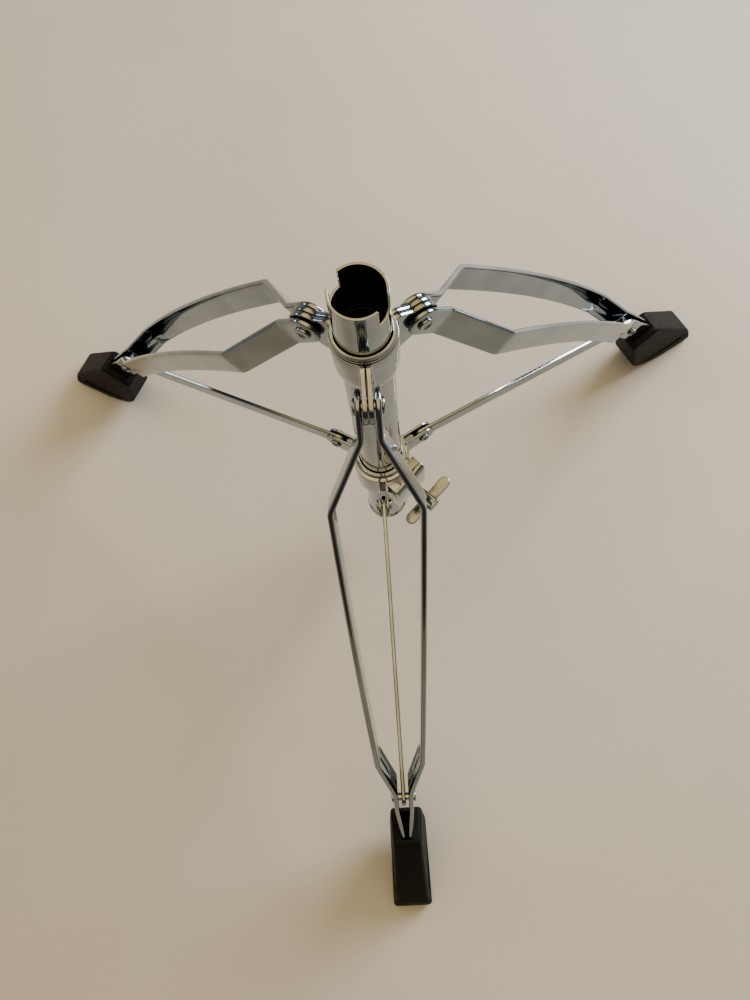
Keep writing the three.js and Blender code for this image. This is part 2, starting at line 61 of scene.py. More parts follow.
# the tube has two notches in its rim, a sleeve in its bore and a cap under it
TUBE_STEPS = 144
TUBE_TOP = top_of("centre_tube")
TUBE_BOTTOM = bottom_of("centre_tube")
TUBE_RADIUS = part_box("centre_tube")[1].x / MM
TUBE_WALL = 1.2
NOTCH_DEPTH = 12.0
NOTCH_ANGLE = 43.0
NOTCH_AZIMUTH = 150.0
BUSHING_TOP = top_of("tube_bushing")
BUSHING_BOTTOM = bottom_of("tube_bushing")
BUSHING_INNER = 9.9
BUSHING_OUTER = 11.2
CAP_BOTTOM = bottom_of("tube_end_cap")
CAP_RADIUS = 13.6
CAP_RIM = 1.7
CAP_HEIGHT = 11.0

# the rings have rolled beads with grooves between them, and the upper bead is the smaller one
RING_INNER = 13.0
RING_BEADS = 2
BEAD_DEPTH = 0.75
BEAD_STEP = 0.2
BEAD_SHARES = (0.04, 0.14, 0.3, 0.5, 0.7, 0.86, 0.96)
HUB_RING_RADIUS = 14.85
COLLAR_RING_RADIUS = 15.7
COLLAR_FLANGE_RADIUS = 17.5

# the hub is three sheets, each a skirt round the tube with an arm to a leg's pivot at both ends
PIVOT_RADIUS = 28.0
PIVOT_HEIGHT = 257.3
HUB_TOP = top_of("hub_plate_right_left")
HUB_LOW = HUB_TOP - 30.0
HUB_TAPER = 8.0
HUB_WAIST = 1.5
HUB_INNER = 13.0
HUB_SHEET = 2.4
HUB_EDGE = 0.45
HUB_FILLET = 3.0
HUB_ARM_START = 16.4
FLANGE_RADIUS = 9.0
SHOULDER_END = PIVOT_RADIUS - 2.0
CORNER_REACH = PIVOT_RADIUS + FLANGE_RADIUS * 0.64
CORNER_DROP = FLANGE_RADIUS * 0.77
ARM_DROP = 8.7
SHEET_GAP = 0.15

# U is the distance down a leg from its pivot, HALF_GAP is half the space between its straps
STRAP_WIDTH = 16.0
STRAP_THICKNESS = 2.8
STRAP_EDGE = 1.1
STRAP_BEND = 7.0
LONGEST_STEP = 6.0
SLOPE_TOP = math.radians(44.4)
SLOPE_FOOT = math.radians(56.7)
BEND_U = [14.0, 48.8, 227.4, 260.0, 278.0, 311.0]
HALF_GAP = [4.5, 21.4, 13.0, 4.6, 4.4, 2.0]
TIP_U = 332.0
TIP_HALF_GAP = 2.0
STRUT_PIVOT_U = 273.0
RIB_FROM_BEND = 4.0
RIB_HALF_LENGTH = 15.0
RIB_HALF_SHARE = 0.32
RIB_HEIGHT = 0.9

# the collar is three sheets that end in ears, and each pair of ears carries a strut
COLLAR_TOP = top_of("collar_ring")
COLLAR_RING_BOTTOM = bottom_of("collar_ring")
COLLAR_SHELL_TOP = top_of("collar_bushing")
COLLAR_BOTTOM = bottom_of("collar_bushing")
COLLAR_OUTER = 17.2
COLLAR_SHEET = 1.8
EAR_SHEET = 1.6
EAR_EDGE = 0.55
EAR_FILLET = 2.2
EAR_DROP = 2.0
EAR_HALF_SPACE = 2.4
EAR_RADIUS = 7.5
EAR_PIVOT_RADIUS = 29.7
EAR_PIVOT_HEIGHT = 96.1
STRUT_HEIGHT = 11.0
STRUT_THICKNESS = 2.4

# the wing screw goes through the clamp box that stands out from the collar
CLAMP_AZIMUTH = -45.0
CLAMP_WIDTH = 24.0
CLAMP_START = 15.0
CLAMP_REACH = 25.2
CLAMP_SHEET = 1.9
CLAMP_BEND = 3.0
SCREW_HEIGHT = 90.0
SCREW_START = 16.8
THREAD_START = 17.4
THREAD_END = 29.6
THREAD_PITCH = 1.0
THREAD_RADIUS = 2.95
ROOT_RADIUS = 2.5
WING_CENTRE = 38.2
WING_SPAN = 37.6
WING_WIDTH = 7.0
WING_THICKNESS = 2.8
# the boss between the blades: (distance from the axis, half width)
BOSS_STATIONS = [
    (30.5, 2.9), (30.6, 3.2), (30.9, 3.5), (31.4, 3.7), (42.0, 3.9), (42.3, 4.15), (42.8, 4.3),
    (43.3, 4.25), (43.7, 4.0), (43.95, 3.6), (44.0, 3.0),
]
BOSS_SQUARENESS = 0.42
BOSS_FLATNESS = 0.92

# rivets: (head radius, shank radius)
LEG_RIVET = (3.9, 2.85)
LEG_RIVET_LENGTH = 4.2
FOOT_RIVET = (3.2, 2.35)
EAR_RIVET = (3.4, 2.35)

# the grooves along a foot's sides run between (distance from the axis, height)
FOOT_TOE = 277.0
FOOT_HALF_WIDTH = 13.0
FOOT_ROUNDING = 2.3
GROOVE_HEEL = (231.5, FLOOR + 13.2)
GROOVE_TOE = (265.0, FLOOR + 11.6)
GROOVE_RADIUS = 1.7
GROOVE_FLOOR = 10.2
# four points of a foot's side wall: (distance from the axis, half width, height above the floor)
WALL_HEEL_TOP = (231.5, 8.9, 62.0)
WALL_HEEL_LOW = (217.0, 12.0, 20.0)
WALL_TOE_TOP = (273.0, 10.6, 16.0)
WALL_TOE_LOW = (FOOT_TOE, FOOT_HALF_WIDTH, 4.0)


# ------------------------------------------------------------------- materials
def colour_ramp(tree, low, high):
    ramp = tree.nodes.new("ShaderNodeValToRGB")
    for element, position, colour in zip(ramp.color_ramp.elements, (0.35, 0.65), (low, high)):
        element.position = position
        element.color = (*colour, 1.0)
    return ramp


def noise_texture(tree, scale, detail=4.0, stretch=None):
    """Noise over the piece's own coordinates, in cycles per metre."""
    coordinates = tree.nodes.new("ShaderNodeTexCoord")
    mapping = tree.nodes.new("ShaderNodeMapping")
    mapping.inputs["Scale"].default_value = stretch or (1.0, 1.0, 1.0)
    texture = tree.nodes.new("ShaderNodeTexNoise")
    texture.inputs["Scale"].default_value = scale
    texture.inputs["Detail"].default_value = detail
    tree.links.new(coordinates.outputs["Object"], mapping.inputs["Vector"])
    tree.links.new(mapping.outputs["Vector"], texture.inputs["Vector"])
    return texture


def add_bump(tree, height, strength, distance, previous=None):
    bump = tree.nodes.new("ShaderNodeBump")
    bump.inputs["Strength"].default_value = strength
    bump.inputs["Distance"].default_value = distance
    tree.links.new(height, bump.inputs["Height"])
    if previous is not None:
        tree.links.new(previous, bump.inputs["Normal"])
    return bump.outputs["Normal"]


def map_range(tree, value, low, high, source=(0.3, 0.7)):
    node = tree.nodes.new("ShaderNodeMapRange")
    node.inputs["From Min"].default_value = source[0]
    node.inputs["From Max"].default_value = source[1]
    node.inputs["To Min"].default_value = low
    node.inputs["To Max"].default_value = high
    tree.links.new(value, node.inputs["Value"])
    return node.outputs["Result"]


def edge_share(tree, radius):
    """0 on open faces, rising to 1 on edges, broken up by noise."""
    rolled = tree.nodes.new("ShaderNodeBevel")
    rolled.samples = 4
    rolled.inputs["Radius"].default_value = radius
    flat = tree.nodes.new("ShaderNodeNewGeometry")
    match = tree.nodes.new("ShaderNodeVectorMath")
    match.operation = "DOT_PRODUCT"
    tree.links.new(rolled.outputs["Normal"], match.inputs[0])
    tree.links.new(flat.outputs["Normal"], match.inputs[1])
    near_edge = map_range(tree, match.outputs["Value"], 1.0, 0.0, (0.80, 0.985))
    breakup = noise_texture(tree, 900.0, 5.0)
    patchy = map_range(tree, breakup.outputs["Fac"], 0.15, 1.0, (0.38, 0.60))
    product = tree.nodes.new("ShaderNodeMath")
    product.operation = "MULTIPLY"
    tree.links.new(near_edge, product.inputs[0])
    tree.links.new(patchy, product.inputs[1])
    return product.outputs["Value"]


def blended(tree, share, base, worn):
    """A colour that passes from base to worn."""
    mix = tree.nodes.new("ShaderNodeMixRGB")
    tree.links.new(share, mix.inputs["Fac"])
    tree.links.new(base, mix.inputs["Color1"])
    mix.inputs["Color2"].default_value = (*worn, 1.0)
    return mix.outputs["Color"]


def surface(name, low, high, roughness, metallic, bumps, blotch=45.0, worn=None, wear=0.0006):
    """A material with blotchy colour, uneven roughness, layers of bump and worn edges.

    The colour lies between low and high, in patches of blotch cycles per metre. Each layer of
    bumps is (cycles per metre, strength, distance, stretch). worn is (colour, added roughness)
    and reaches over edges by the distance wear."""
    material = bpy.data.materials.new(name)
    material.use_nodes = True
    tree = material.node_tree
    shader = tree.nodes["Principled BSDF"]
    shader.inputs["Metallic"].default_value = metallic
    patches = noise_texture(tree, blotch)
    ramp = colour_ramp(tree, low, high)
    tree.links.new(patches.outputs["Fac"], ramp.inputs["Fac"])
    haze = noise_texture(tree, blotch * 2.7, 6.0)
    colour = ramp.outputs["Color"]
    rough = map_range(tree, haze.outputs["Fac"], *roughness)
    if worn:
        worn_colour, worn_roughness = worn
        share = edge_share(tree, wear)
        colour = blended(tree, share, colour, worn_colour)
        rougher = tree.nodes.new("ShaderNodeMath")
        rougher.operation = "MULTIPLY_ADD"
        rougher.inputs[1].default_value = worn_roughness
        tree.links.new(share, rougher.inputs[0])
        tree.links.new(rough, rougher.inputs[2])
        rough = rougher.outputs["Value"]
    tree.links.new(colour, shader.inputs["Base Color"])
    tree.links.new(rough, shader.inputs["Roughness"])
    normal = None
    for scale, strength, distance, stretch in bumps:
        texture = noise_texture(tree, scale, 3.0, stretch)
        normal = add_bump(tree, texture.outputs["Fac"], strength, distance, normal)
    tree.links.new(normal, shader.inputs["Normal"])
    return material


CHROME_BUMPS = [
    (26.0, 0.05, 0.0010, None),
    (900.0, 0.03, 0.00005, (1.0, 1.0, 0.10)),
    (3200.0, 0.02, 0.00005, None),
]
chrome = surface(
    "chromed_steel", (0.28, 0.32, 0.355), (0.345, 0.39, 0.43), (0.02, 0.08), 1.0, CHROME_BUMPS,
    worn=((0.60, 0.59, 0.56), 0.08), wear=0.0004,
)
strap_chrome = surface(
    "chromed_strap", (0.265, 0.305, 0.34), (0.33, 0.38, 0.42), (0.03, 0.11), 1.0, CHROME_BUMPS,
    worn=((0.62, 0.61, 0.58), 0.10), wear=0.0005,
)
cut_chrome = surface(
    "chromed_edge", (0.38, 0.37, 0.34), (0.52, 0.51, 0.48), (0.10, 0.26), 1.0, CHROME_BUMPS,
    worn=((0.58, 0.57, 0.54), 0.12),
)
black_plastic = surface(
    "moulded_black_plastic", (0.010, 0.010, 0.010), (0.018, 0.018, 0.018), (0.30, 0.50), 0.0,
    [(900.0, 0.10, 0.0002, None)], worn=((0.05, 0.05, 0.05), 0.10),
)
nylon = surface(
    "moulded_nylon", (0.62, 0.60, 0.55), (0.74, 0.72, 0.67), (0.40, 0.60), 0.0,
    [(900.0, 0.10, 0.0002, None)], worn=((0.50, 0.48, 0.44), 0.10),
)
rubber = surface(
    "moulded_rubber", (0.0085, 0.0102, 0.0122), (0.0120, 0.0138, 0.0160), (0.46, 0.58), 0.0,
    [(2600.0, 0.05, 0.0001, None)], blotch=90.0,
    worn=((0.015, 0.017, 0.018), 0.12), wear=0.0012,
)
RUBBER_SPECULAR = 0.14
rubber_shader = rubber.node_tree.nodes["Principled BSDF"]
rubber_shader.inputs["Specular IOR Level"].default_value = RUBBER_SPECULAR


# ------------------------------------------------------------------ mesh helpers
def turned(points, azimuth):
    turn = Matrix.Rotation(math.radians(azimuth), 3, "Z")
    return [turn @ Vector(p) for p in points]


class Shape:
    """Vertices and faces in millimetres, gathered from several closed parts."""

    def __init__(self):
        self.points = []
        self.faces = []

    def add(self, points, faces):
        start = len(self.points)
        self.points += [Vector(p) for p in points]
        self.faces += [[start + i for i in face] for face in faces]
        return self

    def add_shape(self, other):
        return self.add(other.points, other.faces)

    def turn(self, azimuth):
        self.points = turned(self.points, azimuth)
        return self

    def mirror(self):
        """Mirrored in the leg's own plane."""
        self.points = [Vector((p.x, -p.y, p.z)) for p in self.points]
        return self

    def copy(self):
        return Shape().add(self.points, self.faces)


SMOOTH_ANGLE = math.radians(34.0)
BEVEL_ANGLE = math.radians(38.0)
MERGE_DISTANCE = 0.004 * MM
SHORTEST_EDGE = 0.002 * MM


def make_mesh(name, shape):
    mesh = bpy.data.meshes.new(name)
    mesh.from_pydata([p * MM for p in shape.points], [], shape.faces)
    work = bmesh.new()
    work.from_mesh(mesh)
    bmesh.ops.remove_doubles(work, verts=work.verts, dist=MERGE_DISTANCE)
    bmesh.ops.dissolve_degenerate(work, edges=work.edges, dist=SHORTEST_EDGE)
    bmesh.ops.recalc_face_normals(work, faces=work.faces)
    work.to_mesh(mesh)
    work.free()
    mesh.polygons.foreach_set("use_smooth", [True] * len(mesh.polygons))
    mesh.set_sharp_from_angle(angle=SMOOTH_ANGLE)
    return mesh


def place(name, shape, material, body, replaced, bevel=0.0, segments=2, even=False):
    """Makes a piece of the shape, riding on a body, with a bevel in millimetres if given.

    even keeps flat faces flat in the shading, beside edges that the shape has rounded itself."""
    mesh = make_mesh(name, shape)
    piece = bpy.data.objects.new(name, mesh)
    bpy.context.scene.collection.objects.link(piece)
    mesh.materials.append(material)
    if bevel:
        edge = piece.modifiers.new("rounded_edges", "BEVEL")
        edge.width = bevel * MM
        edge.segments = segments
        edge.limit_method = "ANGLE"
        edge.angle_limit = BEVEL_ANGLE
        edge.use_clamp_overlap = True
        edge.harden_normals = True
    if even:
        piece.modifiers.new("even_shading", "WEIGHTED_NORMAL").keep_sharp = True
    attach(piece, body)
    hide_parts(*replaced)


def shell(outer, inner, present=None, closed=False):
    """A sheet with thickness, from two grids of points indexed [column][row].

    closed joins the last column to the first, and present(i, j) says which cells are there."""
    columns, rows = len(outer), len(outer[0])
    shape = Shape()
    shape.points = [Vector(p) for column in outer for p in column]
    shape.points += [Vector(p) for column in inner for p in column]
    depth = columns * rows
    cells = columns if closed else columns - 1

    def here(i, j):
        if closed:
            i %= columns
        if not (0 <= i < cells and 0 <= j < rows - 1):
            return False
        return present is None or present(i, j)

    def index(i, j):
        return (i % columns) * rows + j

    for i in range(cells):
        for j in range(rows - 1):
            if not here(i, j):
                continue
            a, b, c, d = index(i, j), index(i + 1, j), index(i + 1, j + 1), index(i, j + 1)
            shape.faces.append([a, b, c, d])
            shape.faces.append([depth + d, depth + c, depth + b, depth + a])
            sides = ((i, j - 1, a, b), (i + 1, j, b, c), (i, j + 1, c, d), (i - 1, j, d, a))
            for next_i, next_j, p, q in sides:
                if not here(next_i, next_j):
                    shape.faces.append([q, p, depth + p, depth + q])
    return shape


def revolve(profile, steps=96, closed=True):
    """A body of revolution about Z from [radius, height] points."""
    shape = Shape()
    for k in range(steps):
        angle = 2 * math.pi * k / steps
        shape.points += [Vector((r * math.cos(angle), r * math.sin(angle), z)) for r, z in profile]
    rows = len(profile)
    for k in range(steps):
        for j in range(rows if closed else rows - 1):
            a, b = k * rows + j, k * rows + (j + 1) % rows
            c, d = (k + 1) % steps * rows + (j + 1) % rows, (k + 1) % steps * rows + j
            shape.faces.append([a, d, c, b])
    return shape


def along_y(shape, r, z, start, sign):
    """Lays a revolved body along the leg's sideways direction, its height becoming +sign Y."""
    shape.points = [Vector((r + p.x, sign * (start + p.z), z + p.y)) for p in shape.points]
    return shape


def along_x(shape, z):
    """Lays a revolved body along X: its height becomes the distance from the tube's axis."""
    shape.points = [Vector((p.z, p.x, z + p.y)) for p in shape.points]
    return shape


def arc(centre, radius, start, end, steps):
    """Points on an arc in a plane, angles in degrees."""
    points = []
    for k in range(steps + 1):
        angle = math.radians(start + (end - start) * k / steps)
        x, y = centre[0] + radius * math.cos(angle), centre[1] + radius * math.sin(angle)
        points.append(Vector((x, y)))
    return points


def prism(near, far):
    """A solid between two outlines with as many points."""
    count = len(near)
    faces = [list(range(count)), list(range(2 * count - 1, count - 1, -1))]
    faces += [[k, (k + 1) % count, count + (k + 1) % count, count + k] for k in range(count)]
    return Shape().add([*near, *far], faces)


def extruded(outline, start, end):
    """A closed (r, z) outline extruded along the leg's sideways direction."""
    return prism([(p[0], start, p[1]) for p in outline], [(p[0], end, p[1]) for p in outline])


def taken_from(work):
    """The shape that a bmesh holds. The bmesh is freed."""
    work.verts.index_update()
    result = Shape()
    result.points = [v.co / MM for v in work.verts]
    result.faces = [[v.index for v in f.verts] for f in work.faces]
    work.free()
    return result


def without(shape, *cutters):
    """The shape with cutters taken away, as a new shape."""
    def temporary(part):
        thing = bpy.data.objects.new("work", make_mesh("work", part))
        bpy.context.scene.collection.objects.link(thing)
        return thing

    base = temporary(shape)
    helpers = [temporary(cutter) for cutter in cutters]
    for helper in helpers:
        step = base.modifiers.new("cut", "BOOLEAN")
        step.operation = "DIFFERENCE"
        step.solver = "EXACT"
        step.object = helper
    bpy.context.view_layer.update()
    graph = bpy.context.evaluated_depsgraph_get()
    work = bmesh.new()
    work.from_mesh(bpy.data.meshes.new_from_object(base.evaluated_get(graph)))
    for thing in [base, *helpers]:
        bpy.data.objects.remove(thing)
    flat = math.radians(0.6)
    bmesh.ops.dissolve_limit(work, angle_limit=flat, verts=work.verts, edges=work.edges)
    return taken_from(work)


def rolled(depth, half, radius):
    """Half the thickness of a sheet near its rolled edge."""
    short = radius - min(depth, radius)
    return half - radius + math.sqrt(radius * radius - short * short)


def rounded(shape, width, segments=3, angle=28.0):
    """The shape with its edges that are sharper than an angle rolled over."""
    work = bmesh.new()
    work.from_mesh(make_mesh("work", shape))
    sharp = math.radians(angle)
    edges = [e for e in work.edges if len(e.link_faces) == 2 and e.calc_face_angle(0.0) > sharp]
    bmesh.ops.bevel(
        work, geom=edges, offset=width * MM, segments=segments, profile=0.5, affect="EDGES",
    )
    return taken_from(work)


def eased(share):
    """Passes from 0 to 1 with level ends."""
    share = min(max(share, 0.0), 1.0)
    return 3 * share ** 2 - 2 * share ** 3


def round_end(reach, centre, radius):
    """Half the height of a round end, at a distance from the axis."""
    share = min(abs(reach - centre) / radius, 1.0)
    return radius * math.sqrt(max(1.0 - share ** 2, 0.0))


# ------------------------------------------------------------------ centre tube
def in_notch(angle):
    for azimuth in (NOTCH_AZIMUTH, NOTCH_AZIMUTH - 180.0):
        if abs((angle - azimuth + 180.0) % 360.0 - 180.0) < NOTCH_ANGLE / 2:
            return True
    return False


def notched_tube():
    angles = [360.0 * k / TUBE_STEPS for k in range(TUBE_STEPS)]
    for azimuth in (NOTCH_AZIMUTH, NOTCH_AZIMUTH + 180.0):
        angles += [azimuth - NOTCH_ANGLE / 2, azimuth + NOTCH_ANGLE / 2]
    angles = sorted(set(round(a % 360.0, 3) for a in angles))
    heights = [TUBE_BOTTOM, TUBE_BOTTOM + 60, TUBE_BOTTOM + 150]
    heights += [TUBE_TOP - 60, TUBE_TOP - NOTCH_DEPTH, TUBE_TOP]

    def wall(radius):
        columns = []
        for angle in map(math.radians, angles):
            x, y = radius * math.cos(angle), radius * math.sin(angle)
            columns.append([(x, y, z) for z in heights])
        return columns

    def present(i, j):
        following = angles[i + 1] if i + 1 < len(angles) else angles[0] + 360.0
        return j < len(heights) - 2 or not in_notch((angles[i] + following) / 2)

    return shell(wall(TUBE_RADIUS), wall(TUBE_RADIUS - TUBE_WALL), present, closed=True)


place("tube_polished", notched_tube(), chrome, "tube_and_hub", ["centre_tube"],
      0.28, 2)

place("bushing_sleeve", revolve([
    (BUSHING_INNER, BUSHING_BOTTOM), (BUSHING_OUTER, BUSHING_BOTTOM),
    (BUSHING_OUTER, BUSHING_TOP - 0.6), (10.9, BUSHING_TOP),
    (10.3, BUSHING_TOP), (BUSHING_INNER, BUSHING_TOP - 0.8),
]), black_plastic, "tube_and_hub", ["tube_bushing"], 0.15)

place("end_cap_turned", revolve([
    (0.0, CAP_BOTTOM), (CAP_RADIUS - 1.0, CAP_BOTTOM), (CAP_RADIUS - 0.3, CAP_BOTTOM + 0.25),
    (CAP_RADIUS, CAP_BOTTOM + 0.8), (CAP_RADIUS - 0.1, CAP_BOTTOM + 1.4),
    (CAP_RADIUS - 0.4, CAP_BOTTOM + CAP_RIM), (BUSHING_OUTER, CAP_BOTTOM + CAP_RIM),
    (BUSHING_OUTER, CAP_BOTTOM + CAP_HEIGHT), (0.0, CAP_BOTTOM + CAP_HEIGHT),
], closed=False), chrome, "tube_and_hub", ["tube_end_cap"])


def beaded_ring(outer, bottom, top, flange=()):
    """A ring whose outside is rolled into beads with grooves between them, on a flange if any."""
    profile = [(RING_INNER, bottom), *flange]
    beads_start = profile[-1][1]
    pitch = (top - bottom) / RING_BEADS
    for k in range(RING_BEADS):
        for share in BEAD_SHARES:
            z = bottom + k * pitch + share * pitch
            swell = math.sqrt(max(0.0, 1.0 - (2 * share - 1) ** 2))
            if z > beads_start:
                profile.append((outer - BEAD_STEP * k - BEAD_DEPTH * (1.0 - swell), z))
    profile += [(RING_INNER + 0.3, top), (RING_INNER, top - 0.2)]
    return revolve(profile, 128)


place("hub_ring_rolled", beaded_ring(HUB_RING_RADIUS, bottom_of("hub_ring"), top_of("hub_ring")),
      chrome, "tube_and_hub", ["hub_ring"])


# ------------------------------------------------------------------- fixed hub
def tab_reaches(centre, radius, start, steps=12):
    """Distances from the axis that follow a tab's round end closely, then pass inwards to start."""
    curved = [centre + radius * math.cos(math.radians(90.0 * k / steps)) for k in range(steps + 1)]
    return curved + [centre + (start - centre) * k / 4 for k in range(1, 5)]


def sheet_path(radius, half_space, fillet, tab_centre, tab_radius):
    """Plan of a sheet's middle line from one leg's tab round the tube to the next leg's.

    Each item is (point, kind, distance from the axis along the tab)."""
    centre_side = half_space + fillet
    centre_reach = math.sqrt((radius + fillet) ** 2 - centre_side ** 2)
    lean = math.degrees(math.atan2(centre_side, centre_reach))
    reaches = tab_reaches(tab_centre, tab_radius, centre_reach)
    first = [(Vector((reach, half_space)), "tab", reach) for reach in reaches]
    for point in arc((centre_reach, centre_side), fillet, 270.0, 180.0 + lean, 6)[1:]:
        first.append((point, "fillet", point.x))
    round_tube = arc((0, 0), radius, lean, 120.0 - lean, 40)[1:-1]
    middle = [(point, "arc", radius) for point in round_tube]
    across = math.radians(60.0)
    axis = Vector((math.cos(across), math.sin(across)))
    last = [(2 * axis * p.dot(axis) - p, kind, reach) for p, kind, reach in reversed(first)]
    return first + middle + last


def sheet_normals(path):
    """The direction away from the tube at each point of a sheet's path."""
    normals = []
    for k in range(len(path)):
        before = path[max(k - 1, 0)][0]
        after = path[min(k + 1, len(path) - 1)][0]
        along = (after - before).normalized()
        normals.append(Vector((along.y, -along.x)))
    return normals


def pressed_sheet(path, thickness, limits, edge, tab, waist=None):
    """The sheet along a path, with rolled edges.

    limits(kind, reach) gives its lowest and highest point, edge is the roll's radius and
    tab the (distance, height, radius) of its round end. waist(kind, z), if any, draws the
    outside in."""
    tab_reach, tab_height, tab_radius = tab
    outer, inner = [], []
    for (point, kind, reach), normal in zip(path, sheet_normals(path)):
        low, top = limits(kind, reach)
        steps = [min(share * edge, (top - low) * 0.45) for share in (0.0, 0.05, 0.2, 0.45, 1.0)]
        heights = [low + step for step in steps]
        flat = top - low - 2 * edge
        heights += [low + edge + flat * share for share in (0.12, 0.25, 0.5, 0.75)]
        heights += [top - step for step in reversed(steps)]
        heights = sorted(heights)
        outer.append([])
        inner.append([])
        for z in heights:
            depth = min(z - low, top - z)
            if kind == "tab" and reach > tab_reach:
                depth = max(tab_radius - math.hypot(reach - tab_reach, z - tab_height), 0.0)
            half = rolled(depth, thickness / 2, edge)
            pinch = waist(kind, z) if waist else 0.0
            out = point + normal * (half - pinch)
            into = point - normal * half
            outer[-1].append((out.x, out.y, z))
            inner[-1].append((into.x, into.y, z))
    return shell(outer, inner)


def hub_limits(kind, reach):
    """A skirt round the tube, with an arm that narrows from it to the round flange of the pivot."""
    if kind == "arc":
        return HUB_LOW, HUB_TOP
    shoulder = PIVOT_HEIGHT + FLANGE_RADIUS
    rise = eased((SHOULDER_END - reach) / (SHOULDER_END - HUB_ARM_START))
    above = shoulder + (HUB_TOP - shoulder) * rise
    if kind == "fillet":
        return HUB_LOW, above
    fall = (CORNER_REACH - reach) / (CORNER_REACH - HUB_ARM_START)
    below = PIVOT_HEIGHT - CORNER_DROP - max(fall, 0.0) * ARM_DROP
    bow = round_end(reach, PIVOT_RADIUS, FLANGE_RADIUS)
    return (
        PIVOT_HEIGHT - bow if reach > CORNER_REACH else below,
        PIVOT_HEIGHT + bow if reach > PIVOT_RADIUS else above,
    )


def hub_waist(kind, z):
    """The skirt's outside draws in at its lower edge."""
    if kind == "tab":
        return 0.0
    return HUB_WAIST * eased((HUB_LOW + HUB_TAPER - z) / HUB_TAPER)


hub_path = sheet_path(
    HUB_INNER + HUB_SHEET / 2, SHEET_GAP + HUB_SHEET / 2, HUB_FILLET, PIVOT_RADIUS, FLANGE_RADIUS,
)
flange_end = (PIVOT_RADIUS, PIVOT_HEIGHT, FLANGE_RADIUS)
hub_sheet = pressed_sheet(hub_path, HUB_SHEET, hub_limits, HUB_EDGE, flange_end, hub_waist)
for leg, azimuth in LEGS.items():
    other = NEXT_LEG[leg]
    place(f"hub_sheet_{leg}_{other}", hub_sheet.copy().turn(azimuth), chrome, "tube_and_hub",
          [f"hub_plate_{leg}_{other}"])


# ------------------------------------------------------------------------ legs
ARC_ANGLE = SLOPE_FOOT - SLOPE_TOP
ARC_RADIUS = (BEND_U[2] - BEND_U[1]) / ARC_ANGLE


def leg_at(u):
    """(r, z, slope) of a leg's middle line, u millimetres from its pivot."""
    straight = min(u, BEND_U[1])
    r = PIVOT_RADIUS + straight * math.cos(SLOPE_TOP)
    z = PIVOT_HEIGHT - straight * math.sin(SLOPE_TOP)
    slope = SLOPE_TOP
    if u > BEND_U[1]:
        turn = min((u - BEND_U[1]) / ARC_RADIUS, ARC_ANGLE)
        r += ARC_RADIUS * (math.sin(SLOPE_TOP + turn) - math.sin(SLOPE_TOP))
        z += ARC_RADIUS * (math.cos(SLOPE_TOP + turn) - math.cos(SLOPE_TOP))
        slope += turn
    if u > BEND_U[2]:
        r += (u - BEND_U[2]) * math.cos(slope)
        z -= (u - BEND_U[2]) * math.sin(slope)
    return r, z, slope


def to_leg(u, sideways, across):
    r, z, slope = leg_at(u)
    return Vector((r + across * math.sin(slope), sideways, z + across * math.cos(slope)))


def bezier2(a, b, c, steps=6):
    """Points on a curve from a towards b and on to c, without a itself."""
    shares = [k / steps for k in range(1, steps + 1)]
    return [(1 - t) ** 2 * a + 2 * t * (1 - t) * b + t * t * c for t in shares]


def strap_path():
    """Plan of one strap's middle line, bends rounded, as (u, sideways) points."""
    half = STRAP_WIDTH / 2
    corners = [Vector((-half, HALF_GAP[0]))]
    corners += [Vector(pair) for pair in zip(BEND_U, HALF_GAP)]
    corners.append(Vector((TIP_U, TIP_HALF_GAP)))
    points = [corners[0]]
    for i in range(1, len(corners) - 1):
        before = (corners[i - 1] - corners[i]).normalized()
        after = (corners[i + 1] - corners[i]).normalized()
        reach = STRAP_BEND * math.tan((math.pi - before.angle(after)) / 2)
        start, end = corners[i] + before * reach, corners[i] + after * reach
        points += [start, *bezier2(start, corners[i], end)]
    points.append(corners[-1])
    fine = [points[0]]
    for a, b in zip(points, points[1:]):
        steps = max(1, math.ceil((b - a).length / LONGEST_STEP))
        fine += [a.lerp(b, k / steps) for k in range(1, steps + 1)]
    ends = [-half * math.cos(math.radians(a)) for a in range(0, 90, 9)]
    round_start = [Vector((u, HALF_GAP[0])) for u in ends]
    tip = [TIP_U - half + half * math.sin(math.radians(a)) for a in range(9, 91, 9)]
    middle = [p for p in fine if ends[-1] + 1.0 < p.x < TIP_U - half]
    slope = (TIP_HALF_GAP - HALF_GAP[-1]) / (TIP_U - BEND_U[-1])
    round_end = [Vector((u, HALF_GAP[-1] + slope * (u - BEND_U[-1]))) for u in tip]
    return round_start + middle + round_end


def half_width_at(u):
    half = STRAP_WIDTH / 2
    for distance in (-u, u - (TIP_U - half)):
        if distance > 0:
            return max(math.sqrt(max(half * half - distance * distance, 0.0)), 0.05)
    return half


def depth_inside(u, across):
    """Distance from a strap's outline, inwards."""
    half = STRAP_WIDTH / 2
    past = max(-u, u - (TIP_U - half), 0.0)
    return max(half - math.hypot(past, across), 0.0)


def rib(u, share):
    """Height of the pressed stiffening rib across the bend above the foot."""
    lengthwise = (u - BEND_U[2] - RIB_FROM_BEND) / RIB_HALF_LENGTH
    crosswise = share / RIB_HALF_SHARE
    if abs(lengthwise) >= 1.0 or abs(crosswise) >= 1.0:
        return 0.0
    return RIB_HEIGHT * (1 - lengthwise ** 4) * math.cos(crosswise * math.pi / 2) ** 2


# places across a strap, as shares of its half width: close together at the rolled edge and the rib
HALF_SHARES = [1.0, 0.994, 0.979, 0.9525, 0.9125, 0.8625, 0.5, RIB_HALF_SHARE, 0.2, 0.08]


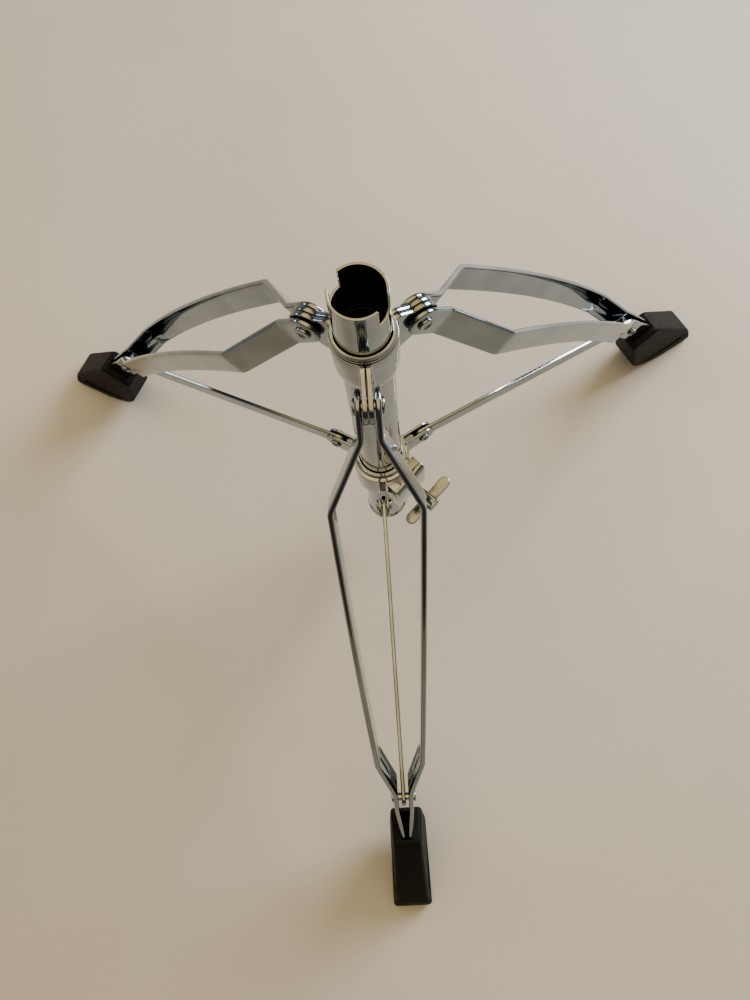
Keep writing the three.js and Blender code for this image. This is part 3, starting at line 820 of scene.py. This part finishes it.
def strap():
    path = strap_path()
    shares = [-share for share in HALF_SHARES] + HALF_SHARES[::-1]
    outer, inner = [], []
    for k, point in enumerate(path):
        along = (path[min(k + 1, len(path) - 1)] - path[max(k - 1, 0)]).normalized()
        side = Vector((-along.y, along.x))
        half = half_width_at(point.x)
        outer.append([])
        inner.append([])
        for share in shares:
            lift = rib(point.x, share)
            inside = depth_inside(point.x, share * half)
            thick = rolled(inside, STRAP_THICKNESS / 2, STRAP_EDGE)
            out = point + side * (thick - lift)
            into = point - side * (thick + lift)
            outer[-1].append(to_leg(out.x, out.y, share * half))
            inner[-1].append(to_leg(into.x, into.y, share * half))
    return shell(outer, inner)


def rivet_profile(head, shank, length, height=1.35):
    """From the shank's end at -length to a rolled head with a dished middle, seated at 0."""
    return [
        (0.0, -length), (shank, -length), (shank, 0.0), (head * 0.97, 0.0), (head, height * 0.15),
        (head, height * 0.45), (head * 0.97, height * 0.72), (head * 0.91, height * 0.90),
        (head * 0.83, height), (head * 0.76, height * 0.98), (head * 0.70, height * 0.86),
        (head * 0.66, height * 0.66), (head * 0.61, height * 0.52), (head * 0.52, height * 0.46),
        (head * 0.30, height * 0.52), (0.0, height * 0.56),
    ]


def rivet(head, shank, length, start, r, z, sign):
    turned_rivet = revolve(rivet_profile(head, shank, length), 64, closed=False)
    return along_y(turned_rivet, r, z, start, sign)


def through_rivet(head, shank, face, r, z):
    """A rivet through a pivot, with a formed head outside each face."""
    both = rivet(head, shank, face, face, r, z, 1)
    return both.add_shape(rivet(head, shank, face, face, r, z, -1))


strap_shape = strap()
rivet_seat = HALF_GAP[0] + STRAP_THICKNESS / 2 + 0.05
foot_rivet_face = HALF_GAP[3] + STRAP_THICKNESS / 2 + 0.1
foot_pivot = leg_at(STRUT_PIVOT_U)[:2]
for leg, azimuth in LEGS.items():
    body = f"leg_{leg}"
    straps = {"b": strap_shape.copy(), "a": strap_shape.copy().mirror()}
    for side, shape in straps.items():
        place(f"strap_{leg}_{side}", shape.turn(azimuth), strap_chrome, body,
              [f"leg_strap_{leg}_{side}"])
    for side, sign in (("a", -1), ("b", 1)):
        head = rivet(*LEG_RIVET, LEG_RIVET_LENGTH, rivet_seat, PIVOT_RADIUS, PIVOT_HEIGHT, sign)
        place(f"leg_rivet_head_{leg}_{side}", head.turn(azimuth), chrome, body,
              [f"leg_rivet_{leg}_{side}"])
    lower = through_rivet(*FOOT_RIVET, foot_rivet_face, *foot_pivot)
    place(f"foot_rivet_{leg}", lower.turn(azimuth), chrome, body,
          [f"strut_foot_rivet_{leg}"])


# ------------------------------------------------------------------------ feet
def foot_outline():
    """A flat heel face that the straps go into, and a sole that curves up to it.

    Points are (distance from the axis, height)."""
    def at(r, height):
        return Vector((r, FLOOR + height))

    sole_heel, sole_toe = at(250, 0), at(FOOT_TOE - 7, 0)
    toe_tip, toe_top = at(FOOT_TOE, 5), at(FOOT_TOE - 8, 20.3)
    crown_front, crown_back = at(234.5, 59), at(228, 61.3)
    heel_top, heel_side = at(213.5, 57.2), at(210.3, 52)
    heel_low, heel_curve = at(216.5, 24), at(226, 9.5)
    outline = [sole_heel, sole_toe]
    outline += bezier2(sole_toe, at(FOOT_TOE, 0), toe_tip)
    outline += bezier2(at(FOOT_TOE - 0.5, 7), at(FOOT_TOE - 1, 13), toe_top)
    outline.append(crown_front)
    outline += bezier2(crown_front, at(231.5, 62.3), crown_back)
    outline.append(heel_top)
    outline += bezier2(heel_top, at(209.8, 56), heel_side)
    outline.append(heel_low)
    outline += bezier2(heel_low, at(218.5, 15), heel_curve)
    outline += bezier2(heel_curve, at(237, 2), sole_heel)[:-1]
    return outline


def capsule(start, end, radius, low, high, steps=10):
    """A rounded slot between two (r, z) points, between two sideways distances."""
    start, end = Vector(start), Vector(end)
    lean = math.degrees(math.atan2(end.y - start.y, end.x - start.x))
    outline = arc(start, radius, lean + 90, lean + 270, steps)
    outline += arc(end, radius, lean - 90, lean + 90, steps)
    return extruded(outline, low, high)


def wedge(near, far):
    """A solid between two four-cornered sections."""
    faces = [[3, 2, 1, 0], [4, 5, 6, 7]]
    faces += [[k, (k + 1) % 4, 4 + (k + 1) % 4, 4 + k] for k in range(4)]
    return Shape().add([*near, *far], faces)


def beside_plane(a, b, c, side):
    """A large block on the plane through three points, on its outer side (1) or inner side (-1)."""
    size = 120.0
    along = (b - a).normalized()
    normal = along.cross(c - a).normalized()
    if normal.y * a.y < 0:
        normal = -normal
    other = normal.cross(along)
    corners = ((-1, -1), (1, -1), (1, 1), (-1, 1))
    near = [a + along * p * size + other * q * size for p, q in corners]
    return wedge(near, [p + normal * size * side for p in near])


def outside_wall(sign):
    """What lies outside a foot's side wall, which leans in and narrows towards the heel.

    Below the line from the toe's top to the low heel the wall is upright, so the toe flares."""
    heel_top, heel_low, toe_top, toe_low = (
        Vector((r, sign * half, FLOOR + height))
        for r, half, height in (WALL_HEEL_TOP, WALL_HEEL_LOW, WALL_TOE_TOP, WALL_TOE_LOW)
    )
    leaning = beside_plane(heel_top, toe_top, heel_low, 1)
    below_flare = beside_plane(toe_top, toe_low, heel_low, -1)
    upright = beside_plane(toe_low, heel_low, toe_low + Vector((0, 0, 50)), 1)
    return without(leaning, below_flare), upright


def foot_shape():
    sole = FOOT_HALF_WIDTH
    block = extruded(foot_outline(), -sole, sole)
    block = without(block, *outside_wall(1), *outside_wall(-1))
    block = rounded(block, FOOT_ROUNDING, 4, 24.0)
    waste = []
    for sign in (1, -1):
        low, high = sign * GROOVE_FLOOR, sign * (sole + 4)
        waste.append(capsule(GROOVE_HEEL, GROOVE_TOE, GROOVE_RADIUS, low, high))
    half_strap = STRAP_WIDTH / 2 + 0.25
    sections = []
    for u, half_gap in (*zip(BEND_U[3:], HALF_GAP[3:]), (TIP_U + 0.5, TIP_HALF_GAP)):
        side = half_gap + STRAP_THICKNESS / 2 + 0.3
        corners = ((-side, -1), (side, -1), (side, 1), (-side, 1))
        sections.append([to_leg(u, sideways, end * half_strap) for sideways, end in corners])
    waste += [wedge(near, far) for near, far in zip(sections, sections[1:])]
    return without(block, *waste)


foot = foot_shape()
for leg, azimuth in LEGS.items():
    place(f"rubber_foot_{leg}", foot.copy().turn(azimuth), rubber, f"leg_{leg}",
          [f"foot_{leg}"], even=True)


# ---------------------------------------------------------------------- struts
ear_pivot = (EAR_PIVOT_RADIUS, EAR_PIVOT_HEIGHT)
half_strut = STRUT_THICKNESS / 2
strut = capsule(ear_pivot, foot_pivot, STRUT_HEIGHT / 2, -half_strut, half_strut, 16)
for leg, azimuth in LEGS.items():
    place(f"strut_bar_{leg}", strut.copy().turn(azimuth), strap_chrome, f"strut_{leg}",
          [f"strut_{leg}"], 0.7, 4)


# -------------------------------------------------------------- sliding collar
collar_flange = [
    (COLLAR_FLANGE_RADIUS - 0.15, COLLAR_RING_BOTTOM),
    (COLLAR_FLANGE_RADIUS, COLLAR_RING_BOTTOM + 0.15),
    (COLLAR_FLANGE_RADIUS - 0.15, COLLAR_RING_BOTTOM + 0.35),
    (COLLAR_FLANGE_RADIUS - 2.0, COLLAR_RING_BOTTOM + 0.85),
]
collar_ring = beaded_ring(COLLAR_RING_RADIUS, COLLAR_RING_BOTTOM, COLLAR_TOP, collar_flange)
place("collar_ring_rolled", collar_ring, chrome, "collar", ["collar_ring"])


def collar_limits(kind, reach):
    """A shell round the tube, with two round ears at each leg."""
    if kind != "tab":
        return COLLAR_BOTTOM, COLLAR_SHELL_TOP
    bow = round_end(reach, EAR_PIVOT_RADIUS, EAR_RADIUS)
    if reach < EAR_PIVOT_RADIUS:
        drop = EAR_DROP * (EAR_PIVOT_RADIUS - reach) / EAR_PIVOT_RADIUS
        return EAR_PIVOT_HEIGHT - EAR_RADIUS - drop, EAR_PIVOT_HEIGHT + EAR_RADIUS
    return EAR_PIVOT_HEIGHT - bow, EAR_PIVOT_HEIGHT + bow


def clamp_box():
    """The pressed box over the clamp nut: a bent sheet over its top and end, and two cheeks."""
    half, start, reach = CLAMP_WIDTH / 2, CLAMP_START, CLAMP_REACH
    low, top = COLLAR_BOTTOM, COLLAR_SHELL_TOP
    under, end = top - CLAMP_SHEET, reach - CLAMP_SHEET
    bend = (reach - CLAMP_BEND, top - CLAMP_BEND)
    outer = [Vector((start, top)), *arc(bend, CLAMP_BEND, 90, 0, 8), Vector((reach, low))]
    inner = [Vector((end, low)), *arc(bend, CLAMP_BEND - CLAMP_SHEET, 0, 90, 5)]
    inner.append(Vector((start, under)))
    box = rounded(extruded(outer + inner, -half, half), 0.35, 2, 50.0)
    cheek = [(start, under), (bend[0], under), (end, bend[1]), (end, low), (start, low)]
    for sign in (1, -1):
        side = extruded(cheek, sign * (half - CLAMP_SHEET), sign * (half - 0.15))
        box.add_shape(rounded(side, 0.25, 2))
    return box


collar_path = sheet_path(
    COLLAR_OUTER - COLLAR_SHEET / 2, EAR_HALF_SPACE, EAR_FILLET, EAR_PIVOT_RADIUS, EAR_RADIUS,
)
ear_end = (*ear_pivot, EAR_RADIUS)
collar_sheet = pressed_sheet(collar_path, EAR_SHEET, collar_limits, EAR_EDGE, ear_end)
ear_rivet_face = EAR_HALF_SPACE + EAR_SHEET / 2 + 0.05
for leg, azimuth in LEGS.items():
    other = NEXT_LEG[leg]
    plate = collar_sheet.copy().turn(azimuth)
    if leg == "front":
        plate.add_shape(clamp_box().turn(CLAMP_AZIMUTH))
    place(f"collar_sheet_{leg}_{other}", plate, chrome, "collar",
          [f"collar_plate_{leg}_{other}"])
    pivot = through_rivet(*EAR_RIVET, ear_rivet_face, *ear_pivot)
    place(f"ear_rivet_head_{leg}", pivot.turn(azimuth), chrome, "collar",
          [f"ear_rivet_{leg}"])


# ------------------------------------------------------------------ wing screw
def wing_blades():
    """Two flat blades with round ends in one bar, a little narrower at the boss."""
    straight, half = WING_SPAN / 2 - WING_WIDTH / 2, WING_WIDTH / 2
    side = []
    for k in range(13):
        y = -straight + straight * k / 6
        side.append(Vector((half - 0.25 * math.exp(-(y / 5.0) ** 2), y)))
    outline = side + arc((0, straight), half, 0, 180, 14)[1:-1]
    outline += [Vector((-p.x, p.y)) for p in reversed(side)]
    outline += arc((0, -straight), half, 180, 360, 14)[1:-1]
    low, high = (
        [Vector((WING_CENTRE + p.x, p.y, SCREW_HEIGHT + lift)) for p in outline]
        for lift in (-WING_THICKNESS / 2, WING_THICKNESS / 2)
    )
    return rounded(prism(low, high), 0.75, 3, 50.0)


def squared_boss():
    """A boss along X, nearly square across."""
    count = 64
    shape = Shape()
    for x, half in BOSS_STATIONS:
        for c in range(count):
            angle = 2 * math.pi * c / count
            y, z = (
                math.copysign(abs(value) ** BOSS_SQUARENESS, value) * half
                for value in (math.cos(angle), math.sin(angle))
            )
            shape.points.append(Vector((x, y, SCREW_HEIGHT + z * BOSS_FLATNESS)))
    last = (len(BOSS_STATIONS) - 1) * count
    for row in range(0, last, count):
        for c in range(count):
            a, b = row + c, row + (c + 1) % count
            shape.faces.append([a, b, b + count, a + count])
    shape.faces.append(list(range(count)))
    shape.faces.append(list(range(last, last + count)))
    return shape


def screw_shank():
    """A shank along X, with its thread drawn as rings."""
    profile = [(0.0, SCREW_START), (2.4, SCREW_START)]
    x = THREAD_START
    while x < THREAD_END:
        profile += [(THREAD_RADIUS, x), (THREAD_RADIUS, x + 0.25)]
        profile += [(ROOT_RADIUS, x + 0.55), (ROOT_RADIUS, x + 0.75)]
        x += THREAD_PITCH
    profile += [(ROOT_RADIUS, 31.0), (0.0, 31.0)]
    return along_x(revolve(profile, 64, closed=False), SCREW_HEIGHT)


wing = screw_shank().add_shape(squared_boss()).add_shape(wing_blades()).turn(CLAMP_AZIMUTH)
place("wing_screw_cast", wing, chrome, "wing_screw", ["wing_screw"], even=True)

# solids that stay as they are, in their materials
kept_solids = {"collar_bushing": black_plastic, "clamp_shoe": nylon, "clamp_nut": cut_chrome}
kept_solids.update({f"hub_pin_{leg}": cut_chrome for leg in LEGS})
for name, material in kept_solids.items():
    nodes[name].data.materials.clear()
    nodes[name].data.materials.append(material)


# ----------------------------------------------------- floor, light and camera
HALF_FLOOR = 6.0
floor_mesh = bpy.data.meshes.new("floor")
floor_mesh.from_pydata([
    (x * HALF_FLOOR, y * HALF_FLOOR, FLOOR * MM) for x, y in ((-1, -1), (1, -1), (1, 1), (-1, 1))
], [], [(0, 1, 2, 3)])
floor_mesh.materials.append(surface(
    "pale_floor", (0.455, 0.462, 0.466), (0.495, 0.502, 0.506), (0.75, 0.9), 0.0,
    [(420.0, 0.06, 0.0004, None)], blotch=3.0,
))
floor = bpy.data.objects.new("floor", floor_mesh)
bpy.context.scene.collection.objects.link(floor)


LIGHT_TARGET = Vector((0, 0, 0.1))


def area_light(name, location, size, power, colour):
    """A soft box that faces the object, in metres and watts."""
    data = bpy.data.lights.new(name, "AREA")
    data.shape = "RECTANGLE"
    data.size, data.size_y = size
    data.energy = power
    data.color = colour
    light = bpy.data.objects.new(name, data)
    light.location = location
    light.rotation_euler = (LIGHT_TARGET - Vector(location)).to_track_quat("-Z", "Y").to_euler()
    bpy.context.scene.collection.objects.link(light)


area_light("window", (1.25, 0.95, 0.85), (1.0, 0.9), 34.0, (1.0, 0.985, 0.955))
area_light("fill", (-1.5, 0.9, 0.9), (0.9, 0.5), 4.0, (0.97, 0.98, 1.0))

# The room that the chrome mirrors: its tones from the horizon and below (0) to overhead (1)
ROOM_TONES = [
    (0.0, (0.40, 0.41, 0.42)), (0.16, (0.74, 0.75, 0.76)), (0.40, (0.46, 0.45, 0.42)),
    (0.62, (0.22, 0.18, 0.12)), (0.80, (2.3, 1.66, 0.82)), (1.0, (3.2, 2.34, 1.20)),
]
DARK_SIDE = (0.20, 0.145, 0.11)
ROOM_STRENGTH = 0.50

world = bpy.data.worlds.new("room")
bpy.context.scene.world = world
world.use_nodes = True
sky = world.node_tree
background = sky.nodes["Background"]
direction = sky.nodes.new("ShaderNodeTexCoord")
split = sky.nodes.new("ShaderNodeSeparateXYZ")
patches = sky.nodes.new("ShaderNodeTexNoise")
patches.inputs["Scale"].default_value = 2.3
patches.inputs["Detail"].default_value = 1.0
sky.links.new(direction.outputs["Generated"], split.inputs["Vector"])
sky.links.new(direction.outputs["Generated"], patches.inputs["Vector"])


def sky_math(operation, first, second):
    node = sky.nodes.new("ShaderNodeMath")
    node.operation = operation
    for socket, value in zip(node.inputs, (first, second)):
        if isinstance(value, float):
            socket.default_value = value
        else:
            sky.links.new(value, socket)
    return node.outputs["Value"]


wobble = sky_math("MULTIPLY", sky_math("SUBTRACT", patches.outputs["Fac"], 0.5), 0.5)
tones = sky.nodes.new("ShaderNodeValToRGB")
for position, tone in ROOM_TONES[1:-1]:
    tones.color_ramp.elements.new(position)
for element, (position, tone) in zip(tones.color_ramp.elements, ROOM_TONES):
    element.position = position
    element.color = (*tone, 1.0)
sky.links.new(sky_math("ADD", split.outputs["Z"], wobble), tones.inputs["Fac"])
# a dark part in front, where the photographer stands, that ends overhead and to the right
near_side = map_range(sky, split.outputs["Y"], 1.0, 0.0, (-0.80, -0.50))
low_side = map_range(sky, split.outputs["Z"], 1.0, 0.0, (0.45, 0.62))
left_part = map_range(sky, split.outputs["X"], 1.0, 0.0, (0.42, 0.62))
shade = sky_math("MULTIPLY", sky_math("MULTIPLY", near_side, low_side), left_part)
dimmed = sky.nodes.new("ShaderNodeMixRGB")
dimmed.inputs["Color2"].default_value = (*DARK_SIDE, 1.0)
sky.links.new(shade, dimmed.inputs["Fac"])
sky.links.new(tones.outputs["Color"], dimmed.inputs["Color1"])
sky.links.new(dimmed.outputs["Color"], background.inputs["Color"])
background.inputs["Strength"].default_value = ROOM_STRENGTH
bpy.context.scene.view_settings.look = "AgX - Medium High Contrast"

CAMERA_PLACE = Vector((13.3, -167.3, 613.1)) * MM
CAMERA_FORWARD = Vector((-0.0348, 0.2631, -0.9641))
CAMERA_RIGHT = Vector((0.9972, -0.0554, -0.0511))
CAMERA_LENS = 42.2
camera_data = bpy.data.cameras.new("camera")
camera = bpy.data.objects.new("camera", camera_data)
bpy.context.scene.collection.objects.link(camera)
forward = CAMERA_FORWARD.normalized()
right = (CAMERA_RIGHT - forward * CAMERA_RIGHT.dot(forward)).normalized()
up = right.cross(forward)
turn = Matrix((right, up, -forward)).transposed().to_4x4()
camera.matrix_world = Matrix.Translation(CAMERA_PLACE) @ turn
camera_data.sensor_fit = "HORIZONTAL"
camera_data.sensor_width = 36.0
camera_data.lens = CAMERA_LENS
bpy.context.scene.camera = camera
